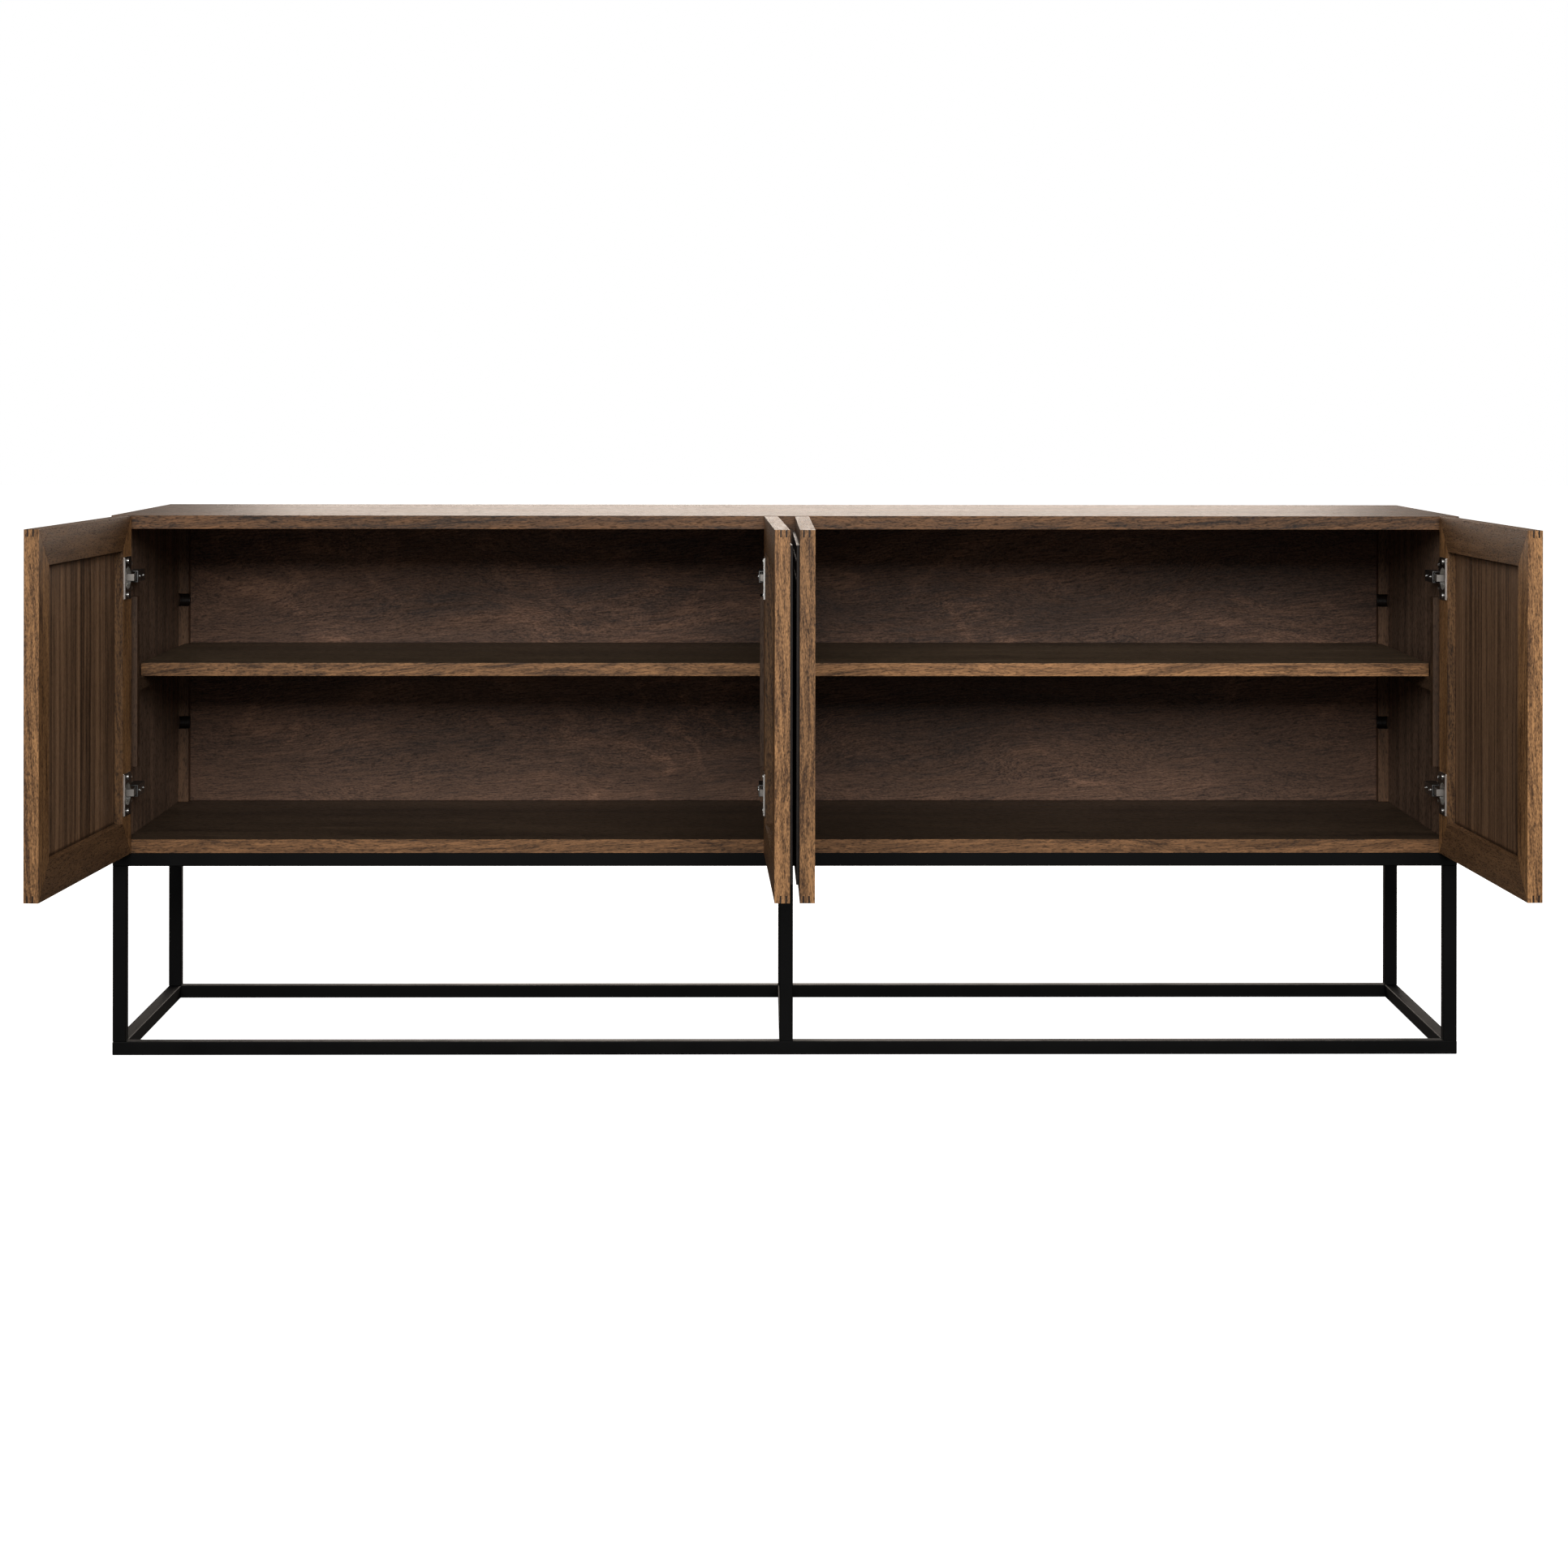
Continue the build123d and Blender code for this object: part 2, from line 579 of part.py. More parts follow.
# ---------------------------------------------------------------- hinges
def cups(door, name):
    """Two pressed cups with their flanges, link pins and screws."""
    with BuildPart() as cup_set:
        with BuildSketch(door_plane(door)):
            with Locations(cup_centres()):
                Circle(CUP_R)
        extrude(amount=CUP_DEPTH)
        with BuildSketch(door_plane(door, -FLANGE_T)):
            flange_mid, flange_len = span(FLANGE_START, FLANGE_END)
            for height in CUP_HEIGHTS:
                with Locations((flange_mid, height)):
                    RectangleRounded(flange_len, FLANGE_H, FLANGE_ROUND)
        extrude(amount=FLANGE_T)
        with BuildSketch(door_plane(door, -FLANGE_LIP_T)):
            for height in CUP_HEIGHTS:
                with Locations((FLANGE_END - FLANGE_LIP_W / 2, height)):
                    Rectangle(FLANGE_LIP_W, FLANGE_H - 2 * FLANGE_ROUND)
        extrude(amount=FLANGE_LIP_T)
        with BuildSketch(door_plane(door, -FLANGE_T)):
            with Locations(cup_centres()):
                Circle(CUP_R - CUP_WALL)
        extrude(amount=FLANGE_T + CUP_DEPTH - CUP_WALL, mode=Mode.SUBTRACT)
        with BuildSketch(door_plane(door, -FLANGE_T)):
            with Locations(cup_screw_centres()):
                Circle(WOOD_SCREW_R + SCREW_HOLE_PLAY)
        extrude(amount=FLANGE_T, mode=Mode.SUBTRACT)
        pin_x, pin_y = to_world(door, link_pivots(door["angle"]))
        pin_half = (CUP_R**2 - (CUP_U - PIVOT_DOOR[0] + PIN_R) ** 2) ** 0.5 - PIN_INSET
        for hinge_z in HINGE_Z:
            with BuildSketch(Plane.XY.offset(hinge_z)):
                with Locations((pin_x, pin_y)):
                    Circle(PIN_R)
            extrude(amount=pin_half, both=True)
    with BuildPart() as screws:
        with BuildSketch(door_plane(door, -FLANGE_T)):
            with Locations(cup_screw_centres()):
                Circle(WOOD_SCREW_HEAD_R)
        extrude(amount=-WOOD_SCREW_HEAD_T)
        with BuildSketch(door_plane(door, -FLANGE_T)):
            with Locations(cup_screw_centres()):
                Circle(WOOD_SCREW_R)
        extrude(amount=FLANGE_T + WOOD_SCREW_LENGTH)
    save_group([cup_set.part, screws.part], f"{name}_hinge_cups")


def links(door, name):
    """Cranked links between the arms and the cups, one for each hinge of the door."""
    fixed = PIVOT_FIXED
    moving = link_pivots(door["angle"])
    reach = hypot(moving[0] - fixed[0], moving[1] - fixed[1])
    along = ((moving[0] - fixed[0]) / reach, (moving[1] - fixed[1]) / reach)
    across = (-along[1], along[0])
    elbow = (
        fixed[0] + LINK_ELBOW[0] * along[0] + LINK_ELBOW[1] * across[0],
        fixed[1] + LINK_ELBOW[0] * along[1] + LINK_ELBOW[1] * across[1],
    )
    route = [to_world(door, point) for point in (fixed, elbow, moving)]
    with BuildPart() as link_set:
        for hinge_z in HINGE_Z:
            with BuildSketch(Plane.XY.offset(hinge_z - LINK_W / 2)):
                for start, end in zip(route, route[1:]):
                    length = hypot(end[0] - start[0], end[1] - start[1])
                    angle = degrees(atan2(end[1] - start[1], end[0] - start[0]))
                    with Locations(((start[0] + end[0]) / 2, (start[1] + end[1]) / 2)):
                        Rectangle(length, LINK_T, rotation=angle)
                with Locations(route[1]):
                    Circle(LINK_T / 2)
                with Locations(route[0], route[2]):
                    Circle(LINK_BOSS_R)
                with Locations(route[0], route[2]):
                    Circle(PIN_R + PIN_FIT, mode=Mode.SUBTRACT)
            extrude(amount=LINK_W)
    save(link_set, f"{name}_hinge_links")


for door_name, door in DOORS.items():
    door_frame(door, door_name)
    door_panel(door, door_name)
    door_front(door, door_name)
    cups(door, door_name)
    links(door, door_name)


def hinge_arm(door, hinge_z):
    """Channel arm: two cheeks joined by an inboard web, with a fork and pin at the link."""
    outline = [
        (PIVOT_FIXED[0] - ARM_NOSE, ARM_LOW),
        (ARM_REACH, ARM_LOW),
        (ARM_REACH, ARM_BACK),
        (BOARD + PLATE_T, ARM_BACK),
        (BOARD + PLATE_T, PLATE_Y[0]),
    ]
    with BuildPart() as arm:
        with BuildSketch(Plane.XY.offset(hinge_z - ARM_W / 2)):
            with BuildLine():
                Polyline(*[to_world(door, point) for point in outline], close=True)
            make_face()
        extrude(amount=ARM_W)
        with BuildSketch(Plane.XY.offset(hinge_z - ARM_W / 2 + ARM_WALL)):
            web_x = ARM_REACH - ARM_WALL
            with Locations(to_world(door, (web_x / 2, (ARM_LOW + ARM_BACK) / 2))):
                Rectangle(web_x, ARM_BACK - ARM_LOW + 2 * CUT_OVERRUN)
        extrude(amount=ARM_W - 2 * ARM_WALL, mode=Mode.SUBTRACT)
        with BuildSketch(Plane.XY.offset(hinge_z - ARM_W / 2)):
            with Locations(to_world(door, PIVOT_FIXED)):
                Circle(PIN_R)
        extrude(amount=ARM_W)
    return arm.part


save_group([hinge_arm(door, z) for door in DOORS.values() for z in HINGE_Z], "hinge_arms")

with BuildPart() as hinge_plates:
    for door in DOORS.values():
        for hinge_z in HINGE_Z:
            x, y = to_world(door, (BOARD, (PLATE_Y[0] + PLATE_Y[1]) / 2))
            with BuildSketch(Plane(origin=(x, y, hinge_z), x_dir=(0, 1, 0), z_dir=(1, 0, 0))):
                Rectangle(PLATE_Y[1] - PLATE_Y[0], ARM_W)
                with Locations((PLATE_SCREW_Y - (PLATE_Y[0] + PLATE_Y[1]) / 2, 0)):
                    SlotOverall(PLATE_H, PLATE_WING_W, rotation=90)
                for y_screw, z_screw in plate_screw_points(hinge_z):
                    with Locations((FRONT + y_screw - y, z_screw - hinge_z)):
                        Circle(WOOD_SCREW_R + SCREW_HOLE_PLAY, mode=Mode.SUBTRACT)
            extrude(amount=door["hand"] * PLATE_T)
save(hinge_plates, "hinge_plates")

with BuildPart() as plate_screws:
    for door in DOORS.values():
        x, _ = to_world(door, (BOARD + PLATE_T, 0))
        face = Plane(origin=(x, 0, 0), x_dir=(0, 1, 0), z_dir=(1, 0, 0))
        points = [(FRONT + y, z) for hinge_z in HINGE_Z for y, z in plate_screw_points(hinge_z)]
        with BuildSketch(face):
            with Locations(points):
                Circle(WOOD_SCREW_HEAD_R)
        extrude(amount=door["hand"] * WOOD_SCREW_HEAD_T)
        with BuildSketch(face):
            with Locations(points):
                Circle(WOOD_SCREW_R)
        extrude(amount=-door["hand"] * (PLATE_T + WOOD_SCREW_LENGTH))
save(plate_screws, "hinge_plate_screws")
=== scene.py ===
import json
from math import atan2, cos, pi, radians, sin

import bmesh
import bpy
from mathutils import Matrix, Vector


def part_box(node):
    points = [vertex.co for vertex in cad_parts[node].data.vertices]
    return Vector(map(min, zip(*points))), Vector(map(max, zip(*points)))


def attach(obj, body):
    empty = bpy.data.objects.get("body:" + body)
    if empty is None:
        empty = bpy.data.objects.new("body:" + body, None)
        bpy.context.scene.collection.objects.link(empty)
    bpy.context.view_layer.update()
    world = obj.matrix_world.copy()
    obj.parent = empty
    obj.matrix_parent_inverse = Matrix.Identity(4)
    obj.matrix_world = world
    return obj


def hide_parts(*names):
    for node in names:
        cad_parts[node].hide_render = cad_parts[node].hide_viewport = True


# Looks for the sideboard: materials, softened edges, screw heads, studio and camera.
# Metres, +Z up, the front faces -Y.

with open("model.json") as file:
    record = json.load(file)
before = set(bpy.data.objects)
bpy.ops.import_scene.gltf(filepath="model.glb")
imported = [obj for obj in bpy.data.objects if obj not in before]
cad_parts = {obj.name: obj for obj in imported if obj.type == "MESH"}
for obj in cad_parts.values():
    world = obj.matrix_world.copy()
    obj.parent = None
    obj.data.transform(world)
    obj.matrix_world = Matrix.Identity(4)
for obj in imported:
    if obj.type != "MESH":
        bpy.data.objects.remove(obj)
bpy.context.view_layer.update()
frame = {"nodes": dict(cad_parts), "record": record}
nodes = frame["nodes"]
behaviour = frame["record"]["behaviour"]
joints = {joint["name"]: joint for joint in behaviour["joints"]}

WHITE = (1.0, 1.0, 1.0)
MERGE_DISTANCE = 0.00002        # split vertices this near are joined


# ---------------------------------------------------------------- node tree helpers
MIX_FACTOR, MIX_FIRST, MIX_SECOND, MIX_RESULT = 0, 6, 7, 2      # a Mix node's colour sockets


def wire(tree, kind, inputs=None, **settings):
    """A new node with its settings made, and each input given a value or another node's socket."""
    node = tree.nodes.new(kind)
    for name, value in settings.items():
        setattr(node, name, value)
    for name, value in (inputs or {}).items():
        if isinstance(value, bpy.types.NodeSocket):
            tree.links.new(value, node.inputs[name])
        else:
            node.inputs[name].default_value = value
    return node


def rgba(colour):
    return (*colour, 1.0)


def mix_colour(tree, factor, first, second, blend="MIX"):
    """Blend of two colours, each given as an RGB triple or as a socket."""
    first = first if isinstance(first, bpy.types.NodeSocket) else rgba(first)
    second = second if isinstance(second, bpy.types.NodeSocket) else rgba(second)
    inputs = {MIX_FACTOR: factor, MIX_FIRST: first, MIX_SECOND: second}
    node = wire(tree, "ShaderNodeMix", inputs, data_type="RGBA", blend_type=blend)
    return node.outputs[MIX_RESULT]


def multiplied(tree, first, second):
    return mix_colour(tree, 1.0, first, second, "MULTIPLY")


def grey(tree, value):
    inputs = {"Red": value, "Green": value, "Blue": value}
    return wire(tree, "ShaderNodeCombineColor", inputs).outputs["Color"]


def remap(tree, value, low, high, out_low=0.0, out_high=1.0):
    """value stretched from the range low to high onto out_low to out_high, and clamped."""
    inputs = {"Value": value, "From Min": low, "From Max": high, "To Min": out_low, "To Max": out_high}
    return wire(tree, "ShaderNodeMapRange", inputs).outputs["Result"]


def arithmetic(tree, operation, first, second, third=0.0):
    node = wire(tree, "ShaderNodeMath", {0: first, 1: second, 2: third}, operation=operation)
    return node.outputs["Value"]


def distance(tree, first, second):
    """How far two numbers are apart."""
    return arithmetic(tree, "ABSOLUTE", arithmetic(tree, "SUBTRACT", first, second), 0.0)


def layered(tree, layers):
    """Sum of noises that each swing about one half, by weight; the sum swings about one half too."""
    total = 0.5 - 0.5 * sum(weight for _, weight in layers)
    for value, weight in layers:
        total = arithmetic(tree, "MULTIPLY_ADD", value, weight, total)
    return total


def split(tree, vector):
    return wire(tree, "ShaderNodeSeparateXYZ", {"Vector": vector}).outputs


def turned(tree, vector, rotation):
    return wire(tree, "ShaderNodeMapping", {"Vector": vector, "Rotation": rotation}).outputs["Vector"]


def noise(tree, vector, per_metre, detail=2.0, roughness=0.5, distortion=0.0):
    """Noise whose number of features per metre is given along each axis."""
    stretched = wire(tree, "ShaderNodeMapping", {"Vector": vector, "Scale": per_metre}).outputs["Vector"]
    inputs = {
        "Vector": stretched,
        "Scale": 1.0,
        "Detail": detail,
        "Roughness": roughness,
        "Distortion": distortion,
    }
    return wire(tree, "ShaderNodeTexNoise", inputs).outputs["Fac"]


def raise_surface(tree, shader, height, strength, depth):
    """Fine relief that follows height."""
    bump = wire(tree, "ShaderNodeBump", {"Strength": strength, "Distance": depth, "Height": height})
    tree.links.new(bump.outputs["Normal"], shader.inputs["Normal"])


def new_material(name):
    material = bpy.data.materials.new(name)
    material.use_nodes = True
    tree = material.node_tree
    tree.nodes.clear()
    output = wire(tree, "ShaderNodeOutputMaterial")
    shader = wire(tree, "ShaderNodeBsdfPrincipled")
    tree.links.new(shader.outputs["BSDF"], output.inputs["Surface"])
    return material, tree, shader


# ---------------------------------------------------------------- faces that are darkened, most of them by painted shade
FREE_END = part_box("outer_left_door_stiles")[0][1]
STEP_START = FREE_END + 0.003   # behind the end face of a door that stands open
STEP_BLEND = 0.001
NOTCH_RADIUS = 0.010
NOTCH_BLEND = 0.0003
NOTCH_PITCH = joints["shelf_left_lift"]["range_m"][1]
CLEAT_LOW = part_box("shelf_cleats_left")[0][2]
NOTCH_LEVELS = [CLEAT_LOW + NOTCH_RADIUS + step * NOTCH_PITCH for step in (-1, 0, 1)]
PANEL_HIDDEN = 0.007            # part of a panel that its frame covers
RIM_WIDTH = 0.005
RIM_FULL = 0.002                # the outer part of the rim, which gets the full painted shade


def facing(tree, normal, axis, low, high):
    """1 on the faces that look either way along an axis, and 0 on those that look well away from it."""
    return remap(tree, arithmetic(tree, "ABSOLUTE", split(tree, normal)[axis], 0.0), low, high)


def painted_shade_level_faces(tree, _place, normal):
    """1 on the faces that look up or down, and 0 on the edges; it picks the faces that get painted shade,
    darker and greyer than the edges.
    """
    return facing(tree, normal, "Z", low=0.5, high=0.6)


def step_faces(tree, place, normal):
    """1 on the small faces of the step around a door's panel that look along the door's width."""
    looks_sideways = facing(tree, normal, "Y", low=0.6, high=0.7)
    behind_end = remap(tree, split(tree, place)["Y"], STEP_START, STEP_START + STEP_BLEND)
    return arithmetic(tree, "MULTIPLY", looks_sideways, behind_end)


def painted_shade_notches(tree, place, _normal):
    """1 inside the three notches of a batten, where painted shade goes nearly black."""
    height = split(tree, place)["Z"]
    inside = 0.0
    for level in NOTCH_LEVELS:
        away = distance(tree, height, level)
        near = remap(tree, away, NOTCH_RADIUS, NOTCH_RADIUS + NOTCH_BLEND, out_low=1.0, out_high=0.0)
        inside = arithmetic(tree, "MAXIMUM", near, inside)
    return inside


def painted_shade_rim(tree, place, _normal):
    """1 on the rim of a door panel, where painted shade lies in the corner under the frame."""
    parts = split(tree, place)
    low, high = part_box("outer_left_door_panel")
    rim = 0.0
    for axis, index in (("Y", 1), ("Z", 2)):
        away = distance(tree, parts[axis], (low[index] + high[index]) / 2)
        reach = (high[index] - low[index]) / 2 - PANEL_HIDDEN
        near = remap(tree, away, reach - RIM_WIDTH, reach - RIM_FULL)
        rim = arithmetic(tree, "MAXIMUM", near, rim)
    return rim


def painted_shade_broad_faces(tree, normal):
    """1 on the faces that look along X, which are a hinge's broad press-formed faces when a door is open,
    and which get painted shade.
    """
    return facing(tree, normal, "X", low=0.75, high=0.9)


# ---------------------------------------------------------------- wood
ALONG_X = (0.0, 0.0, 0.0)
ALONG_Y = (0.0, 0.0, -pi / 2)
ALONG_Z = (0.0, pi / 2, 0.0)

# features per metre: along the grain, and in the two directions across it
CLOUD_SCALE = (2.6, 6.0, 6.0)
SWIRL_SCALE = (2.1, 4.2, 4.2)
DRIFT_SCALE = (2.4, 7.0, 7.0)
THREAD_SCALE = (22.0, 480.0, 480.0)
SPECKLE_SCALE = (260.0, 620.0, 620.0)
BANDS_ALONG = 0.9

CLOUD_RANGE = (0.36, 0.64)
CLOUD_WEIGHT = 0.45
VEIN_WIDTH = 0.05               # how far the swirl noise is from one half at a vein's edge
VEIN_RANGE = (0.45, 0.6)        # clouds lighter than this let the veins show
VEIN_WEIGHT = 0.6
FIGURE_BASE = 0.8               # shade of a figured veneer where it has no cloud or vein
GRAIN_RANGE = (0.05, 0.95)
PORE_RANGE = (0.54, 0.64)       # noise above this is an open pore
PORE_SHADE = 0.25
PORE_DULLNESS = 0.3
POLISH = 0.05                   # how much smoother than its roughness a wood gets
WEAR = 0.08                     # and how much rougher
THREAD_RELIEF = 0.35


def figured(tree, grain):
    """Slow clouds and thin light veins of a figured veneer."""
    clouds = noise(tree, grain, CLOUD_SCALE, detail=3.0, roughness=0.55, distortion=0.9)
    swirl = noise(tree, grain, SWIRL_SCALE, detail=2.0, distortion=2.2)
    vein = remap(tree, distance(tree, swirl, 0.5), 0.0, VEIN_WIDTH, out_low=1.0, out_high=0.0)
    broken = arithmetic(tree, "MULTIPLY", vein, remap(tree, clouds, *VEIN_RANGE))
    lift = arithmetic(tree, "MULTIPLY", remap(tree, clouds, *CLOUD_RANGE), CLOUD_WEIGHT)
    return arithmetic(tree, "MULTIPLY_ADD", broken, VEIN_WEIGHT, lift)


def lengthwise(length, width):
    """Features per metre for marks of this length along the grain and this width across it."""
    return (1.0 / length, 1.0 / width, 1.0 / width)


def wood(
    name,
    turn,
    dark,
    light,
    slant=0.0,
    wander=0.05,
    bands=1.0,
    band_pitch=0.06,
    streaks=1.2,
    streak_pitch=0.009,
    streak_length=0.16,
    threads=0.9,
    speckle=0.5,
    pores=0.6,
    pore_length=0.009,
    pore_width=0.0014,
    figure=0.0,
    darkened_faces=None,
    darkening=WHITE,
    tone=1.0,
    roughness=0.45,
    specular=0.3,
):
    """Stained open-grained wood. turn carries the grain's direction onto X, slant tips the streaks
    against the board's edge, and wander is how far they stray. dark and light are the tones at the ends
    of its grain; bands, streaks, threads, speckle and pores weigh its layers, from the broadest to the
    finest, and figure weighs the clouds and veins of a veneer. darkened_faces picks faces to darken,
    most of them as painted shade, and darkening is their colour against the rest. tone lightens or
    darkens the whole piece apart from its pores."""
    material, tree, shader = new_material(name)
    coordinates = wire(tree, "ShaderNodeTexCoord").outputs
    grain = turned(tree, coordinates["Object"], turn)
    tipped = turned(tree, grain, (0.0, slant, slant))

    # slow wander, so that the grain is never quite straight
    drift = arithmetic(tree, "MULTIPLY", noise(tree, grain, DRIFT_SCALE), wander)
    offset = wire(tree, "ShaderNodeCombineXYZ", {"Y": drift, "Z": drift}).outputs["Vector"]
    bent = wire(tree, "ShaderNodeVectorMath", {0: tipped, 1: offset}, operation="ADD").outputs["Vector"]

    band_noise = noise(tree, bent, (BANDS_ALONG, 1.0 / band_pitch, 1.0 / band_pitch))
    streak_scale = lengthwise(streak_length, streak_pitch)
    streak_noise = noise(tree, bent, streak_scale, detail=3.0, roughness=0.62)
    thread_noise = noise(tree, bent, THREAD_SCALE, roughness=0.6)
    speckle_noise = noise(tree, bent, SPECKLE_SCALE, detail=1.0)
    layers = [
        (band_noise, bands),
        (streak_noise, streaks),
        (thread_noise, threads),
        (speckle_noise, speckle),
    ]
    grain_tone = remap(tree, layered(tree, layers), *GRAIN_RANGE)
    colour = mix_colour(tree, grain_tone, tuple(tone * c for c in dark), tuple(tone * c for c in light))
    if figure:
        lift = arithmetic(tree, "MULTIPLY", figured(tree, grain), figure)
        colour = multiplied(tree, colour, grey(tree, arithmetic(tree, "ADD", lift, FIGURE_BASE)))

    dash_noise = noise(tree, bent, lengthwise(pore_length, pore_width), detail=1.0)
    pore_mask = arithmetic(tree, "MULTIPLY", remap(tree, dash_noise, *PORE_RANGE), pores)
    colour = mix_colour(tree, pore_mask, colour, tuple(PORE_SHADE * c for c in dark))
    # the picked faces are darkened; on most pieces this is painted shade
    if darkened_faces:
        mask = darkened_faces(tree, coordinates["Object"], coordinates["Normal"])
        colour = mix_colour(tree, mask, colour, multiplied(tree, colour, darkening))
    tree.links.new(colour, shader.inputs["Base Color"])

    smooth, dull = roughness - POLISH, roughness + WEAR
    worn = remap(tree, streak_noise, 0.3, 0.7, out_low=smooth, out_high=dull)
    rough = arithmetic(tree, "MULTIPLY_ADD", pore_mask, PORE_DULLNESS, worn)
    tree.links.new(rough, shader.inputs["Roughness"])
    shader.inputs["Specular IOR Level"].default_value = specular
    ridges = arithmetic(tree, "MULTIPLY", thread_noise, THREAD_RELIEF)
    relief = arithmetic(tree, "SUBTRACT", ridges, pore_mask)
    raise_surface(tree, shader, relief, strength=0.35, depth=0.0003)
    return material


# ---------------------------------------------------------------- metals
COAT_DARK = (0.0014, 0.0014, 0.0014)
COAT_LIGHT = (0.0028, 0.0027, 0.0026)
COAT_SPECULAR = 0.11
MOTTLE_SCALE = (14.0, 14.0, 14.0)
PEEL_SCALE = (900.0, 900.0, 900.0)
DRAWN_SCALE = (260.0, 260.0, 2600.0)
PATCH_SCALE = (70.0, 70.0, 70.0)
PATCH_DULLNESS = 0.1


def powder_coat(name):
    material, tree, shader = new_material(name)
    place = wire(tree, "ShaderNodeTexCoord").outputs["Object"]
    mottle = noise(tree, place, MOTTLE_SCALE, detail=3.0)
    peel = noise(tree, place, PEEL_SCALE)
    colour = mix_colour(tree, remap(tree, mottle, 0.3, 0.7), COAT_DARK, COAT_LIGHT)
    tree.links.new(colour, shader.inputs["Base Color"])
    rough = remap(tree, mottle, 0.25, 0.75, out_low=0.46, out_high=0.58)
    tree.links.new(rough, shader.inputs["Roughness"])
    shader.inputs["Specular IOR Level"].default_value = COAT_SPECULAR
    raise_surface(tree, shader, peel, strength=0.25, depth=0.0002)
    return material


def plated(name, colour, dull, roughness, broad=1.0):
    """Nickel or zinc plate with faint drawn lines and duller patches. broad is the tone of painted shade
    on its broad press-formed faces, which look along X, against its drawn edges."""
    material, tree, shader = new_material(name)
    coordinates = wire(tree, "ShaderNodeTexCoord").outputs
    lines = noise(tree, coordinates["Object"], DRAWN_SCALE)
    patches = noise(tree, coordinates["Object"], PATCH_SCALE, detail=3.0)
    plate = mix_colour(tree, remap(tree, patches, 0.35, 0.7), colour, dull)
    # painted shade: the broad faces that look along X are darkened against the edges
    shaded_plate = multiplied(tree, plate, (broad, broad, broad))
    mask = painted_shade_broad_faces(tree, coordinates["Normal"])
    tree.links.new(mix_colour(tree, mask, plate, shaded_plate), shader.inputs["Base Color"])
    drawn = remap(tree, lines, 0.2, 0.8, out_low=-0.04, out_high=0.06)
    duller = roughness + PATCH_DULLNESS
    worn = remap(tree, patches, 0.3, 0.7, out_low=roughness, out_high=duller)
    tree.links.new(arithmetic(tree, "ADD", drawn, worn), shader.inputs["Roughness"])
    shader.inputs["Metallic"].default_value = 1.0
    raise_surface(tree, shader, lines, strength=0.12, depth=0.0001)
    return material


# ---------------------------------------------------------------- which node gets which material
def paint(name, material):
    """Puts one material on a CAD node."""
    slots = nodes[name].data.materials
    slots.clear()
    slots.append(material)


top_wood = wood(
    "case_oak_long", ALONG_X, (0.019, 0.009, 0.004), (0.218, 0.102, 0.041),
    slant=radians(2.5), streaks=1.9, streak_pitch=0.006, streak_length=0.22, threads=1.2, speckle=0.7,
    pore_length=0.010, pore_width=0.0013,
)
# painted shade: the floor's up and down faces are darker and greyer than its edges
bottom_wood = wood(
    "case_oak_floor", ALONG_X, (0.045, 0.020, 0.0075), (0.330, 0.160, 0.066),
    slant=radians(2.0), streaks=1.7, streak_pitch=0.006, streak_length=0.13, threads=1.1,
    pore_length=0.010, pore_width=0.0013, darkened_faces=painted_shade_level_faces, darkening=(0.32, 0.42, 0.61),
)
side_wood = wood(
    "case_oak_upright", ALONG_Z, (0.055, 0.032, 0.021), (0.310, 0.191, 0.126),
    wander=0.02, bands=1.2, band_pitch=0.025, streaks=1.6, streak_pitch=0.010, streak_length=0.4,
    pores=0.9,
)
back_wood = wood(
    "back_veneer", ALONG_X, (0.044, 0.021, 0.012), (0.215, 0.113, 0.067),
    slant=radians(3.0), wander=0.12, bands=0.9, band_pitch=0.07, streaks=0.8, streak_pitch=0.010,
    streak_length=0.2, threads=1.5, speckle=1.1, pores=0.45, figure=1.1, roughness=0.48,
)


# painted shade: each shelf's up and down faces are darker and greyer than its edges
def shelf_wood(bay, tone):
    return wood(
        f"shelf_oak_{bay}", ALONG_X, (0.060, 0.027, 0.010), (0.430, 0.212, 0.086),
        slant=radians(3.0), bands=0.9, streaks=1.8, streak_pitch=0.006, streak_length=0.13, threads=1.1,
        pore_length=0.010, pore_width=0.0013, darkened_faces=painted_shade_level_faces, darkening=(0.39, 0.53, 0.78), tone=tone,
    )


SUPPORT_COLOURS = {"dark": (0.080, 0.040, 0.020), "light": (0.205, 0.108, 0.055)}
FRONT_SUPPORT_TONE = 0.48       # the front battens are darker than the rear ones
front_batten_wood = wood(
    "front_support_oak", ALONG_Z, band_pitch=0.02, streaks=0.8, tone=FRONT_SUPPORT_TONE, **SUPPORT_COLOURS,
)
# painted shade: the insides of the rear battens' notches are darkened nearly to black
rear_batten_wood = wood(
    "rear_support_oak", ALONG_Z, band_pitch=0.02, streaks=0.8,
    darkened_faces=painted_shade_notches, darkening=(0.07, 0.07, 0.08), **SUPPORT_COLOURS,
)
cleat_wood = wood(
    "support_oak_level", ALONG_Y, (0.050, 0.028, 0.015), (0.140, 0.080, 0.044), band_pitch=0.02,
)
# painted shade: a dark rim along each panel, in the corner under its frame
panel_wood = wood(
    "door_panel_oak", ALONG_Z, (0.050, 0.026, 0.014), (0.360, 0.203, 0.110),
    wander=0.02, bands=1.5, band_pitch=0.02, streaks=1.9, streak_pitch=0.007, streak_length=0.9,
    pores=0.3, darkened_faces=painted_shade_rim, darkening=(0.3, 0.28, 0.26),
)
key_wood = wood("key_wood", ALONG_Z, (0.012, 0.006, 0.003), (0.040, 0.020, 0.010), pores=0.2)
coat = powder_coat("black_powder_coat")
